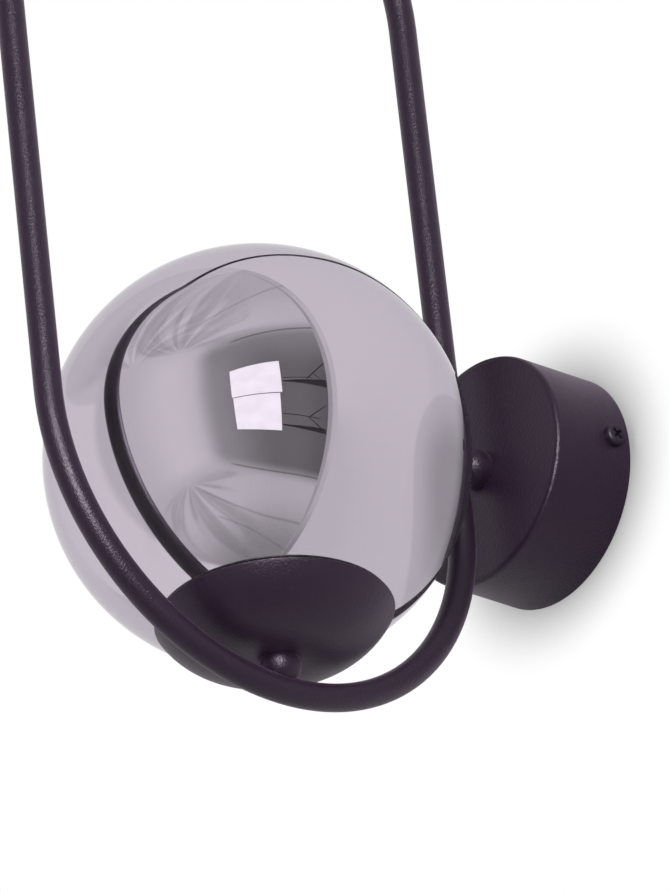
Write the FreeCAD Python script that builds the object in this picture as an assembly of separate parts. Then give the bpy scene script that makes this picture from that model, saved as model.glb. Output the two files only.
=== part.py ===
import FreeCAD, Part
import math
import os

# Globe wall sconce. A round rose on the wall carries an upright closed loop of bent tube,
# whose plane stands square to the wall. A bowl on the loop's lowest point holds a mirrored
# glass globe, which screws down over a threaded collar round the lamp holder.
#
# Millimetres. Origin: centre of the wall face, on the rose's axis.
# +X right, +Y into the wall, +Z up. The loop lies in the plane x = 0.

V = FreeCAD.Vector

# ---- loop ------------------------------------------------------------------------------
tube_diameter = 10.0
tube_wall = 1.0
globe_side_gap = 13.0          # between the globe and the loop's legs
loop_height = 400.0            # over the outside of the two bends
rose_rise = 24.0               # rose axis above the centre of the lower bend
wire_hole_diameter = 6.4       # in the tube wall, under each ball

# ---- balls that join the loop to the rose and to the bowl --------------------------------
ball_diameter = 15.0
ball_offset = 9.3              # ball centre from the tube's centre line
rose_gap = 7.0                 # clear distance between tube and rose
bowl_gap = 6.5                 # clear distance between tube and bowl

# ---- threaded nipples and their nuts -----------------------------------------------------
nipple_diameter = 8.0
nipple_bore = 6.0
nipple_proud = 1.5             # thread standing out of the nut
nut_across_flats = 13.0
nut_thickness = 4.0
lock_washer_diameter = 14.0
lock_washer_thickness = 0.8
lock_washer_teeth = 10
hole_clearance = 0.2           # radial, round a nipple or screw in a plain hole
thread_clearance = 0.02        # radial, stands in for the thread

# ---- rose --------------------------------------------------------------------------------
rose_diameter = 85.0
rose_depth = 34.0
rose_wall = 1.2
rose_corner = 1.8
side_screw_inset = 8.0         # side screws, from the wall

# ---- wall bracket ------------------------------------------------------------------------
bracket_thickness = 1.5
bracket_width = 16.0
bracket_body_length = 72.0
ear_width = 11.0
ear_height = 14.0
ear_gap = 0.3                  # between an ear's corners and the inside of the rose
slot_spacing = 52.0
slot_length = 12.0
slot_width = 4.5
earth_tab_width = 14.0
earth_tab_height = 16.0
earth_x = 19.0
earth_rise = 8.0               # earth screw above the strap's edge

# ---- screws: thread diameter, head diameter, head height, length --------------------------
side_screw = (4.0, 8.0, 3.0, 8.0)
side_recess_turn = 45.0        # the side screws' crosses, about their own axes
earth_screw_size = (4.0, 8.0, 3.0, 6.0)
terminal_fixing = (3.0, 5.4, 2.0, 5.5)
holder_screw = (2.5, 4.6, 1.8, 4.2)
clamp_screw_diameter = 2.4
clamp_screw_length = 4.0

# ---- terminal block ----------------------------------------------------------------------
pole_pitch = 11.0
pole_count = 3
pole_width = 8.2
block_base_thickness = 3.0
block_height = 14.0
block_base_width = 17.0
pole_length = 14.0
clamp_diameter = 4.0
clamp_bore = 2.6
clamp_length = 13.0
clamp_depth = 6.0              # clamp axis below the front of the block
clamp_screw_offset = 4.0       # clamp screws either side of the middle

# ---- leads ---------------------------------------------------------------------------------
lead_diameter = 2.2
conductor_diameter = 1.1
lead_offset = 1.3              # the two lamp leads run this far either side of x = 0
lead_end_gap = 0.1
stripped_length = 5.5
tag_thickness = 0.8
tag_ring_diameter = 8.6
tag_barrel_diameter = 3.4
tag_barrel_length = 5.0
lead_rise = 8.0                # leads stand up this far out of the terminal block
lead_turn_radius = 6.0         # where the lamp leads turn into the rose nipple
tube_turn_radius = 4.5         # where they turn along or out of the tube

# ---- bowl ----------------------------------------------------------------------------------
bowl_rim_diameter = 84.0
bowl_flat_diameter = 26.0
bowl_depth = 17.2
bowl_wall = 1.0
bowl_rim_stand = 1.05          # outer edge of the rim off the globe's sphere

# ---- globe and its screwed seat --------------------------------------------------------------
globe_diameter = 150.0
globe_wall = 2.0
neck_diameter = 44.0
collar_foot_diameter = 25.0    # stands on the bowl's flat
collar_foot_height = 1.7
collar_flange_diameter = 45.0
collar_flange_thickness = 1.0
collar_diameter = 36.0
collar_wall = 2.0
collar_height = 8.0            # above its flange
screw_clearance = 0.3          # radial, between collar and neck
gasket_thickness = 1.0
gasket_diameter = 44.0
gasket_grip = 0.4              # radial, between gasket and collar
seat_gap = 0.3                 # between gasket and what it lies between

# ---- lamp holder -----------------------------------------------------------------------------
holder_width = 22.0
holder_thickness = 14.0
holder_height = 20.0
holder_corner = 3.0
holder_stand = 6.5             # above the end of the bowl nipple
holder_strap_thickness = 1.0
holder_strap_width = 10.0
holder_arm_lap = 8.0
holder_screw_rise = 4.0
pin_spacing = 9.0
pocket_depth = 12.0
pocket_width = 4.6
pocket_thickness = 2.4
contact_leaf = 0.4
contact_leaf_gap = 1.5
contact_width = 3.6
contact_height = 8.5
lead_socket_depth = 5.0

# ---- lamp --------------------------------------------------------------------------------------
pin_wire_diameter = 0.9
pin_loop_width = 2.4
pin_length = 7.0
lamp_base_diameter = 16.0
lamp_base_height = 11.0
lamp_rest_gap = 0.3
envelope_diameter = 15.0
envelope_wall = 0.9
envelope_height = 34.0
envelope_socket = 3.0
board_width = 8.0
board_thickness = 1.2
board_top_gap = 6.0
led_count = 6
led_side = 2.4
led_thickness = 0.6

# ---- places that follow from the sizes ------------------------------------------------------------
tube_r = tube_diameter / 2
tube_bore_r = tube_r - tube_wall
leg_spacing = globe_diameter + 2 * globe_side_gap + tube_diameter
bend_r = leg_spacing / 2
nipple_r = nipple_diameter / 2
far_leg_y = -rose_depth - rose_gap - tube_r
near_leg_y = far_leg_y - leg_spacing
axis_y = (far_leg_y + near_leg_y) / 2
lower_bend_z = -rose_rise
upper_bend_z = lower_bend_z + loop_height - tube_diameter - leg_spacing
loop_bottom_z = lower_bend_z - bend_r
rose_inner_r = rose_diameter / 2 - rose_wall
globe_r = globe_diameter / 2
bowl_base_z = loop_bottom_z + tube_r + bowl_gap
bowl_floor_z = bowl_base_z + bowl_wall
bowl_rim_r = bowl_rim_diameter / 2
bowl_rim_z = bowl_base_z + bowl_depth
globe_z = bowl_rim_z + math.sqrt((globe_r + bowl_rim_stand) ** 2 - bowl_rim_r ** 2)
flange_z = bowl_floor_z + collar_foot_height
flange_top_z = flange_z + collar_flange_thickness
gasket_z = flange_top_z + seat_gap
neck_end_z = gasket_z + gasket_thickness + seat_gap
strap_z = flange_top_z
strap_top_z = strap_z + holder_strap_thickness
bowl_nut_z = strap_top_z + lock_washer_thickness
bowl_nipple_end_z = bowl_nut_z + nut_thickness + nipple_proud
holder_z = bowl_nipple_end_z + holder_stand
holder_top_z = holder_z + holder_height
pocket_floor_z = holder_top_z - pocket_depth
lamp_z = holder_top_z + lamp_rest_gap
block_front_y = -bracket_thickness - block_height
clamp_y = block_front_y + clamp_depth
lead_start_z = pole_length / 2 + lead_end_gap
ear_face_x = math.sqrt((rose_inner_r - ear_gap) ** 2 - (ear_width / 2) ** 2)
earth_z = bracket_width / 2 + earth_rise
rose_nut_y = -rose_depth + rose_wall + lock_washer_thickness
rose_nipple_end_y = rose_nut_y + nut_thickness + nipple_proud
X_AXIS = V(1, 0, 0)
Y_AXIS = V(0, 1, 0)
Z_AXIS = V(0, 0, 1)


# ---- small helpers -------------------------------------------------------------------------------
def box(x0, x1, y0, y1, z0, z1):
    return Part.makeBox(x1 - x0, y1 - y0, z1 - z0, V(x0, y0, z0))


def rod(radius, start, direction, length):
    return Part.makeCylinder(radius, length, start, direction)


def ring(outer_r, inner_r, start, direction, length):
    return rod(outer_r, start, direction, length).cut(rod(inner_r, start, direction, length))


def turned(profile):
    """Solid of revolution about the globe's upright axis, from an (r, z) profile of edges."""
    face = Part.Face(Part.Wire(profile))
    return face.revolve(V(0, axis_y, 0), Z_AXIS, 360)


def at_rz(r, z):
    return V(r, axis_y, z)


def line(a, b):
    return Part.LineSegment(a, b).toShape()


def arc(a, middle, b):
    return Part.Arc(a, middle, b).toShape()


def placed(shape, position, direction):
    """Move a shape made along +Z at the origin so that its +Z points along direction."""
    copy = shape.copy()
    move = FreeCAD.Placement(position, FreeCAD.Rotation(Z_AXIS, direction))
    copy.Placement = move.multiply(shape.Placement)
    return copy


def edges_at(shape, test):
    return [edge for edge in shape.Edges if test(edge)]


def pan_head_screw(size):
    """Cross-recessed pan head screw: head above z = 0, thread below it."""
    thread_d, head_d, head_h, length = size
    head = rod(head_d / 2, V(0, 0, 0), Z_AXIS, head_h)
    top = edges_at(head, lambda e: abs(e.BoundBox.ZMin - head_h) < 1e-6 and e.Closed)
    head = head.makeFillet(head_h * 0.45, top)
    screw = head.fuse(rod(thread_d / 2, V(0, 0, -length), Z_AXIS, length))
    arm = head_d * 0.29
    slot = head_d * 0.065
    depth = head_h * 0.55
    cross = box(-arm, arm, -slot, slot, head_h - depth, head_h + 1)
    cross = cross.fuse(box(-slot, slot, -arm, arm, head_h - depth, head_h + 1))
    return screw.cut(cross).removeSplitter()


def hex_nut():
    """Chamfered hexagon nut for the nipples, standing on z = 0."""
    corner_r = nut_across_flats / math.sqrt(3)
    points = [V(corner_r * math.cos(math.radians(a)), corner_r * math.sin(math.radians(a)), 0)
              for a in range(0, 361, 60)]
    prism = Part.Face(Part.makePolygon(points)).extrude(V(0, 0, nut_thickness))
    chamfer = corner_r - nut_across_flats / 2
    blank = rod(corner_r, V(0, 0, 0), Z_AXIS, nut_thickness)
    blank = blank.makeChamfer(chamfer * 0.9, edges_at(blank, lambda e: e.Closed))
    bore = rod(nipple_r + thread_clearance, V(0, 0, 0), Z_AXIS, nut_thickness)
    return prism.common(blank).cut(bore)


def lock_washer():
    """Toothed lock washer on z = 0."""
    root_r = lock_washer_diameter / 2 - 1.2
    washer = rod(root_r, V(0, 0, 0), Z_AXIS, lock_washer_thickness)
    tooth = box(root_r - 0.5, lock_washer_diameter / 2, -1.0, 1.0, 0, lock_washer_thickness)
    for index in range(lock_washer_teeth):
        turned_tooth = tooth.copy()
        turned_tooth.rotate(V(0, 0, 0), Z_AXIS, index * 360 / lock_washer_teeth)
        washer = washer.fuse(turned_tooth)
    bore = rod(nipple_r + hole_clearance, V(0, 0, 0), Z_AXIS, lock_washer_thickness)
    return washer.cut(bore).removeSplitter()


def rounded_path(points, radii):
    """Edges of a polyline whose inner corners are rounded by tangent arcs."""
    edges = []
    start = points[0]
    for before, corner, after, radius in zip(points, points[1:], points[2:], radii):
        into = (corner - before).normalize()
        out = (after - corner).normalize()
        turn = into.getAngle(out)
        reach = radius * math.tan(turn / 2)
        first = corner - into * reach
        last = corner + out * reach
        inward = (out - into).normalize()
        middle = corner + inward * (radius / math.cos(turn / 2) - radius)
        edges.append(line(start, first))
        edges.append(arc(first, middle, last))
        start = last
    edges.append(line(start, points[-1]))
    return edges


def swept(edges, radius, name):
    """Round rod along a path, checked against its section times its length."""
    path = Part.Wire(edges)
    first = edges[0]
    start = first.valueAt(first.FirstParameter)
    tangent = first.tangentAt(first.FirstParameter)
    section = Part.Wire(Part.makeCircle(radius, start, tangent))
    body = path.makePipeShell([section], True, False)
    expected = math.pi * radius ** 2 * path.Length
    print(name, "length", round(path.Length, 1), "volume ratio", round(body.Volume / expected, 4))
    return body


# ---- rose and bracket ------------------------------------------------------------------------------
def rose_cover():
    outer_r = rose_diameter / 2
    shell = rod(outer_r, V(0, -rose_depth, 0), Y_AXIS, rose_depth)
    front = edges_at(shell, lambda e: e.Closed and abs(e.BoundBox.YMax + rose_depth) < 1e-6)
    shell = shell.makeFillet(rose_corner, front)
    hollow = rod(rose_inner_r, V(0, -rose_depth + rose_wall, 0), Y_AXIS, rose_depth)
    inner_front = edges_at(
        hollow, lambda e: e.Closed and abs(e.BoundBox.YMax + rose_depth - rose_wall) < 1e-6)
    hollow = hollow.makeFillet(rose_corner - rose_wall / 2, inner_front)
    cover = shell.cut(hollow)
    cover = cover.cut(rod(nipple_r + hole_clearance, V(0, -rose_depth - 1, 0), Y_AXIS, rose_wall + 2))
    side_hole_r = side_screw[0] / 2 + hole_clearance
    cross = rod(side_hole_r, V(-outer_r, -side_screw_inset, 0), X_AXIS, rose_diameter)
    return cover.cut(cross)


def obround(centre_x, length, width, y0, y1):
    radius = width / 2
    half = length / 2 - radius
    middle = box(centre_x - half, centre_x + half, y0, y1, -radius, radius)
    for side in (-1, 1):
        middle = middle.fuse(rod(radius, V(centre_x + side * half, y0, 0), Y_AXIS, y1 - y0))
    return middle


def wall_bracket():
    t = bracket_thickness
    half = bracket_width / 2
    strap = box(-bracket_body_length / 2, bracket_body_length / 2, -t, 0, -half, half)
    strap = strap.fuse(box(-ear_face_x, ear_face_x, -t, 0, -ear_width / 2, ear_width / 2))
    for side in (-1, 1):
        inner_x = side * (ear_face_x - t)
        outer_x = side * ear_face_x
        ear = box(min(inner_x, outer_x), max(inner_x, outer_x), -ear_height, 0,
                  -ear_width / 2, ear_width / 2)
        strap = strap.fuse(ear)
    tab = box(earth_x - earth_tab_width / 2, earth_x + earth_tab_width / 2, -t, 0,
              0, half + earth_tab_height)
    strap = strap.fuse(tab).removeSplitter()
    for side in (-1, 1):
        strap = strap.cut(obround(side * slot_spacing / 2, slot_length, slot_width, -t, 0))
    ear_thread_r = side_screw[0] / 2 + thread_clearance
    strap = strap.cut(rod(ear_thread_r, V(-ear_face_x, -side_screw_inset, 0), X_AXIS, 2 * ear_face_x))
    earth_thread_r = earth_screw_size[0] / 2 + thread_clearance
    strap = strap.cut(rod(earth_thread_r, V(earth_x, -t, earth_z), Y_AXIS, t))
    fixing_thread_r = terminal_fixing[0] / 2 + thread_clearance
    strap = strap.cut(rod(fixing_thread_r, V(pole_pitch / 2, -t, 0), Y_AXIS, t))
    return strap.removeSplitter()


def rose_side_screws():
    screw = pan_head_screw(side_screw)
    screw.rotate(V(0, 0, 0), Z_AXIS, side_recess_turn)
    seat = rose_diameter / 2
    return [placed(screw, V(side * seat, -side_screw_inset, 0), V(side, 0, 0)) for side in (-1, 1)]


def earth_washer():
    start = V(earth_x, -bracket_thickness - lock_washer_thickness, earth_z)
    return ring(tag_ring_diameter / 2, earth_screw_size[0] / 2 + hole_clearance,
                start, Y_AXIS, lock_washer_thickness)


def earth_tag_y():
    return -bracket_thickness - lock_washer_thickness - tag_thickness


def barrel_y():
    return earth_tag_y() - tag_barrel_diameter / 2 + tag_thickness


def earth_tag():
    y0 = earth_tag_y()
    ring_r = tag_ring_diameter / 2
    barrel_end_x = earth_x - ring_r - tag_barrel_length
    tag = rod(ring_r, V(earth_x, y0, earth_z), Y_AXIS, tag_thickness)
    tag = tag.fuse(box(earth_x - ring_r - 1, earth_x, y0, y0 + tag_thickness, earth_z - 1.5, earth_z + 1.5))
    barrel = rod(tag_barrel_diameter / 2, V(barrel_end_x, barrel_y(), earth_z), X_AXIS, tag_barrel_length)
    tag = tag.fuse(barrel)
    tag = tag.cut(rod(conductor_diameter / 2 + thread_clearance, V(barrel_end_x, barrel_y(), earth_z),
                      X_AXIS, tag_barrel_length))
    return tag.cut(rod(earth_screw_size[0] / 2 + hole_clearance, V(earth_x, y0, earth_z),
                       Y_AXIS, tag_thickness)).removeSplitter()


def earth_screw():
    return placed(pan_head_screw(earth_screw_size), V(earth_x, earth_tag_y(), earth_z), V(0, -1, 0))


# ---- terminal block ----------------------------------------------------------------------------------
def pole_positions():
    middle = (pole_count - 1) / 2
    return [(index - middle) * pole_pitch for index in range(pole_count)]


def terminal_block():
    t = bracket_thickness
    half_length = pole_count * pole_pitch / 2
    block = box(-half_length, half_length, -t - block_base_thickness, -t,
                -block_base_width / 2, block_base_width / 2)
    for x in pole_positions():
        tower = box(x - pole_width / 2, x + pole_width / 2, block_front_y, -t,
                    -pole_length / 2, pole_length / 2)
        block = block.fuse(tower)
    block = block.removeSplitter()
    for x in pole_positions():
        block = block.cut(rod(clamp_diameter / 2 + thread_clearance, V(x, clamp_y, -pole_length / 2),
                              Z_AXIS, pole_length))
        for side in (-1, 1):
            block = block.cut(rod(clamp_screw_diameter / 2 + hole_clearance,
                                  V(x, block_front_y, side * clamp_screw_offset), Y_AXIS, clamp_depth))
    fixing_x = pole_pitch / 2
    head_room_r = terminal_fixing[1] / 2 + hole_clearance
    block = block.cut(rod(head_room_r, V(fixing_x, block_front_y, 0), Y_AXIS,
                          block_height - block_base_thickness))
    return block.cut(rod(terminal_fixing[0] / 2 + hole_clearance,
                         V(fixing_x, -t - block_base_thickness, 0), Y_AXIS, block_base_thickness))


def terminal_clamps():
    clamps = []
    for x in pole_positions():
        clamp = ring(clamp_diameter / 2, clamp_bore / 2, V(x, clamp_y, -clamp_length / 2),
                     Z_AXIS, clamp_length)
        for side in (-1, 1):
            clamp = clamp.cut(rod(clamp_screw_diameter / 2 + thread_clearance,
                                  V(x, clamp_y - clamp_diameter, side * clamp_screw_offset),
                                  Y_AXIS, clamp_diameter))
        clamps.append(clamp)
    return clamps


def terminal_screws():
    radius = clamp_screw_diameter / 2
    tip_y = clamp_y - conductor_diameter / 2 - lead_end_gap / 2
    screws = []
    for x in pole_positions():
        for side in (-1, 1):
            screw = rod(radius, V(x, tip_y - clamp_screw_length, side * clamp_screw_offset),
                        Y_AXIS, clamp_screw_length)
            slot = box(x - 0.3, x + 0.3, tip_y - clamp_screw_length, tip_y - clamp_screw_length + 0.8,
                       side * clamp_screw_offset - radius, side * clamp_screw_offset + radius)
            screws.append(screw.cut(slot))
    return screws


def terminal_fixing_screw():
    seat_y = -bracket_thickness - block_base_thickness
    size = list(terminal_fixing)
    size[3] = block_base_thickness + bracket_thickness
    return placed(pan_head_screw(size), V(pole_pitch / 2, seat_y, 0), V(0, -1, 0))


# ---- loop, balls, nipples ------------------------------------------------------------------------------
def tube_face(radius, y, z):
    return Part.Face(Part.Wire(Part.makeCircle(radius, V(0, y, z), Z_AXIS)))


def closed_tube(radius):
    """The whole racetrack of the loop as one solid rod."""
    length = upper_bend_z - lower_bend_z
    near = tube_face(radius, near_leg_y, lower_bend_z)
    far = tube_face(radius, far_leg_y, lower_bend_z)
    solid = near.extrude(V(0, 0, length)).fuse(far.extrude(V(0, 0, length)))
    lower = tube_face(radius, near_leg_y, lower_bend_z).revolve(V(0, axis_y, lower_bend_z), X_AXIS, 180)
    upper = tube_face(radius, near_leg_y, upper_bend_z).revolve(V(0, axis_y, upper_bend_z), X_AXIS, -180)
    return solid.fuse(lower).fuse(upper).removeSplitter()


def frame_loop():
    tube = closed_tube(tube_r).cut(closed_tube(tube_bore_r))
    hole_r = wire_hole_diameter / 2
    tube = tube.cut(rod(hole_r, V(0, far_leg_y, 0), Y_AXIS, tube_r + 1))
    return tube.cut(rod(hole_r, V(0, axis_y, loop_bottom_z), Z_AXIS, tube_r + 1))


def joint_ball(tube_point, outward, gap):
    """Ball saddled on the tube at tube_point, with a flat for the plate that it carries."""
    ball = Part.makeSphere(ball_diameter / 2, tube_point + outward * ball_offset)
    beyond = rod(ball_diameter, tube_point + outward * (tube_r + gap), outward, ball_diameter)
    ball = ball.cut(beyond)
    ball = ball.cut(closed_tube(tube_r + thread_clearance))
    bore_start = tube_point + outward * (tube_r - tube_wall)
    ball = ball.cut(rod(nipple_r + thread_clearance, bore_start, outward, ball_diameter))
    return ball


def nipple(tube_point, outward, end):
    """Threaded pipe from just above the tube to end, measured from the tube's centre line."""
    start = tube_r + lead_end_gap
    pipe = ring(nipple_r, nipple_bore / 2, tube_point + outward * start, outward, end - start)
    return pipe


def rose_joint():
    return V(0, far_leg_y, 0), Y_AXIS


def bowl_joint():
    return V(0, axis_y, loop_bottom_z), Z_AXIS


# ---- bowl, collar, gasket, globe -------------------------------------------------------------------------
def bowl_profile_radius():
    """Radius of the bowl's side, tangent to its flat and passing through the rim."""
    width = bowl_rim_r - bowl_flat_diameter / 2
    depth = bowl_rim_z - bowl_base_z
    return (width ** 2 + depth ** 2) / (2 * depth)


def bowl_side(offset):
    """Start, middle and end of the side arc, moved inwards by offset."""
    flat_r = bowl_flat_diameter / 2
    radius = bowl_profile_radius()
    centre_z = bowl_base_z + radius
    rise = centre_z - bowl_rim_z
    side_r = radius - offset
    end_r = flat_r + math.sqrt(side_r ** 2 - rise ** 2)
    half_angle = math.acos(rise / side_r) / 2
    middle = at_rz(flat_r + side_r * math.sin(half_angle), centre_z - side_r * math.cos(half_angle))
    return at_rz(flat_r, centre_z - side_r), middle, at_rz(end_r, bowl_rim_z)


def glass_bowl():
    outer = bowl_side(0)
    inner = bowl_side(bowl_wall)
    profile = [
        line(at_rz(0, bowl_base_z), outer[0]),
        arc(*outer),
        line(outer[2], inner[2]),
        arc(inner[2], inner[1], inner[0]),
        line(inner[0], at_rz(0, bowl_floor_z)),
        line(at_rz(0, bowl_floor_z), at_rz(0, bowl_base_z)),
    ]
    bowl = turned(profile)
    return bowl.cut(rod(nipple_r + hole_clearance, at_rz(0, bowl_base_z - 1), Z_AXIS, bowl_wall + 2))


def globe_collar():
    collar_r = collar_diameter / 2
    foot = rod(collar_foot_diameter / 2, at_rz(0, bowl_floor_z), Z_AXIS, collar_foot_height)
    flange = rod(collar_flange_diameter / 2, at_rz(0, flange_z), Z_AXIS, collar_flange_thickness)
    hub = ring(collar_r, collar_r - collar_wall, at_rz(0, flange_top_z), Z_AXIS, collar_height)
    collar = foot.fuse(flange).fuse(hub).removeSplitter()
    return collar.cut(rod(nipple_r + hole_clearance, at_rz(0, bowl_floor_z), Z_AXIS,
                          collar_foot_height + collar_flange_thickness))


def globe_gasket():
    return ring(gasket_diameter / 2, collar_diameter / 2 + gasket_grip, at_rz(0, gasket_z),
                Z_AXIS, gasket_thickness)


def globe():
    inner_r = globe_r - globe_wall
    neck_r = neck_diameter / 2
    mouth_r = collar_diameter / 2 + screw_clearance
    outer_shoulder = at_rz(neck_r, globe_z - math.sqrt(globe_r ** 2 - neck_r ** 2))
    inner_shoulder = at_rz(mouth_r, globe_z - math.sqrt(inner_r ** 2 - mouth_r ** 2))
    profile = [
        line(at_rz(mouth_r, neck_end_z), at_rz(neck_r, neck_end_z)),
        line(at_rz(neck_r, neck_end_z), outer_shoulder),
        arc(outer_shoulder, at_rz(globe_r, globe_z), at_rz(0, globe_z + globe_r)),
        line(at_rz(0, globe_z + globe_r), at_rz(0, globe_z + inner_r)),
        arc(at_rz(0, globe_z + inner_r), at_rz(inner_r, globe_z), inner_shoulder),
        line(inner_shoulder, at_rz(mouth_r, neck_end_z)),
    ]
    return turned(profile)


# ---- lamp holder ---------------------------------------------------------------------------------------------
def about_axis(x0, x1, y0, y1, z0, z1):
    return box(x0, x1, axis_y + y0, axis_y + y1, z0, z1)


def holder_strap():
    half_x = holder_width / 2 + holder_strap_thickness
    half_y = holder_strap_width / 2
    arm_top_z = holder_z + holder_arm_lap
    strap = about_axis(-half_x, half_x, -half_y, half_y, strap_z, strap_top_z)
    for side in (-1, 1):
        x0 = min(side * holder_width / 2, side * half_x)
        strap = strap.fuse(about_axis(x0, x0 + holder_strap_thickness, -half_y, half_y, strap_z, arm_top_z))
    strap = strap.removeSplitter()
    strap = strap.cut(rod(nipple_r + hole_clearance, at_rz(0, strap_z), Z_AXIS, holder_strap_thickness))
    hole_r = holder_screw[0] / 2 + hole_clearance
    return strap.cut(rod(hole_r, at_rz(-half_x, holder_z + holder_screw_rise), X_AXIS, 2 * half_x))


def holder_screws():
    seat = holder_width / 2 + holder_strap_thickness
    z = holder_z + holder_screw_rise
    return [placed(pan_head_screw(holder_screw), at_rz(side * seat, z), V(side, 0, 0)) for side in (-1, 1)]


def lamp_holder():
    half_x = holder_width / 2
    half_y = holder_thickness / 2
    body = about_axis(-half_x, half_x, -half_y, half_y, holder_z, holder_top_z)
    upright = edges_at(body, lambda e: e.BoundBox.ZLength > holder_height - 1e-6)
    body = body.makeFillet(holder_corner, upright)
    for side in (-1, 1):
        x = side * pin_spacing / 2
        body = body.cut(about_axis(x - pocket_width / 2, x + pocket_width / 2, -pocket_thickness / 2,
                                   pocket_thickness / 2, pocket_floor_z, holder_top_z))
        body = body.cut(rod(lead_diameter / 2 + hole_clearance, at_rz(x, holder_z), Z_AXIS,
                            lead_socket_depth))
        body = body.cut(rod(conductor_diameter / 2 + hole_clearance, at_rz(x, holder_z), Z_AXIS,
                            holder_height - pocket_depth))
        thread_depth = holder_screw[3] - holder_strap_thickness + hole_clearance
        body = body.cut(rod(holder_screw[0] / 2 + thread_clearance,
                            at_rz(side * half_x, holder_z + holder_screw_rise), V(-side, 0, 0),
                            thread_depth))
    return body


def holder_contacts():
    contacts = []
    for side in (-1, 1):
        x = side * pin_spacing / 2
        z0 = pocket_floor_z
        reach = contact_leaf_gap / 2 + contact_leaf
        spring = about_axis(x - contact_width / 2, x + contact_width / 2, -reach, reach, z0,
                            z0 + contact_height)
        gap = about_axis(x - contact_width / 2, x + contact_width / 2, -contact_leaf_gap / 2,
                         contact_leaf_gap / 2, z0 + contact_leaf, z0 + contact_height)
        contacts.append(spring.cut(gap))
    return contacts


# ---- lamp ------------------------------------------------------------------------------------------------------
def lamp_pins():
    pins = []
    wire_r = pin_wire_diameter / 2
    bend = pin_loop_width / 2
    top_z = lamp_z
    bend_z = lamp_z - pin_length + bend + wire_r
    for side in (-1, 1):
        x = side * pin_spacing / 2
        path = [
            line(at_rz(x - bend, top_z), at_rz(x - bend, bend_z)),
            arc(at_rz(x - bend, bend_z), at_rz(x, bend_z - bend), at_rz(x + bend, bend_z)),
            line(at_rz(x + bend, bend_z), at_rz(x + bend, top_z)),
        ]
        pins.append(swept(path, wire_r, "lamp pin"))
    return pins


def lamp_base():
    radius = lamp_base_diameter / 2
    base = rod(radius, at_rz(0, lamp_z), Z_AXIS, lamp_base_height)
    rims = edges_at(base, lambda e: e.Closed)
    base = base.makeFillet(1.0, rims)
    top_z = lamp_z + lamp_base_height
    return base.cut(ring(envelope_diameter / 2 + thread_clearance,
                         envelope_diameter / 2 - envelope_wall - thread_clearance,
                         at_rz(0, top_z - envelope_socket), Z_AXIS, envelope_socket))


def capsule(radius, z0, height):
    dome_z = z0 + height - radius
    return rod(radius, at_rz(0, z0), Z_AXIS, height - radius).fuse(
        Part.makeSphere(radius, at_rz(0, dome_z))).cut(
        rod(radius + 1, at_rz(0, z0 - 2 * radius), Z_AXIS, 2 * radius)).removeSplitter()


def lamp_envelope():
    z0 = lamp_z + lamp_base_height - envelope_socket
    outer = capsule(envelope_diameter / 2, z0, envelope_height)
    inner = capsule(envelope_diameter / 2 - envelope_wall, z0, envelope_height - envelope_wall)
    return outer.cut(inner)


def lamp_board():
    z0 = lamp_z + lamp_base_height
    top = z0 - envelope_socket + envelope_height - board_top_gap
    board = about_axis(-board_width / 2, board_width / 2, -board_thickness / 2, board_thickness / 2, z0, top)
    pitch = (top - z0) / led_count
    for index in range(led_count):
        z = z0 + (index + 0.5) * pitch
        reach = board_thickness / 2 + led_thickness
        board = board.fuse(about_axis(-led_side / 2, led_side / 2, -reach, reach,
                                      z - led_side / 2, z + led_side / 2))
    return board.removeSplitter()


# ---- leads -------------------------------------------------------------------------------------------------------
def lamp_lead(side, name):
    """Live or neutral lead: terminal block, rose nipple, loop, bowl nipple, lamp holder."""
    x = side * lead_offset
    pole_x = side * pole_pitch
    turn_y = rose_nipple_end_y + lead_turn_radius + lead_diameter / 2
    high_z = lead_start_z + lead_rise
    top = rounded_path(
        [V(pole_x, clamp_y, lead_start_z), V(pole_x, clamp_y, high_z), V(pole_x * 0.7, turn_y, high_z),
         V(x, turn_y, 0), V(x, far_leg_y, 0), V(x, far_leg_y, lower_bend_z)],
        [lead_diameter * 1.5, lead_diameter * 2, lead_turn_radius, tube_turn_radius])
    bend_end_y = axis_y + tube_turn_radius
    dip = math.asin(tube_turn_radius / bend_r)
    bend_end = V(x, bend_end_y, lower_bend_z - bend_r * math.cos(dip))
    half = (math.pi / 2 - dip) / 2
    bend_middle = V(x, axis_y + bend_r * math.cos(half), lower_bend_z - bend_r * math.sin(half))
    bend = arc(V(x, far_leg_y, lower_bend_z), bend_middle, bend_end)
    corner = V(x, axis_y, bend_end.z - tube_turn_radius * math.tan(dip))
    holder_x = side * pin_spacing / 2
    turn_radius = (bend_end - corner).Length / math.tan((math.pi / 2 + dip) / 2)
    socket_end_z = holder_z + lead_socket_depth - lead_end_gap
    climb = rounded_path(
        [bend_end, corner, V(x, axis_y, bowl_nipple_end_z + 1.0), V(holder_x, axis_y, holder_z - 1.0),
         V(holder_x, axis_y, socket_end_z)],
        [turn_radius * 0.999, lead_diameter, lead_diameter])
    lead = swept(top + [bend] + climb, lead_diameter / 2, name)
    conductor_r = conductor_diameter / 2
    into_clamp = rod(conductor_r, V(pole_x, clamp_y, lead_start_z - stripped_length), Z_AXIS,
                     stripped_length)
    into_contact = rod(conductor_r, V(holder_x, axis_y, socket_end_z), Z_AXIS,
                       pocket_floor_z - socket_end_z)
    return lead.fuse(into_clamp).fuse(into_contact)


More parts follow.
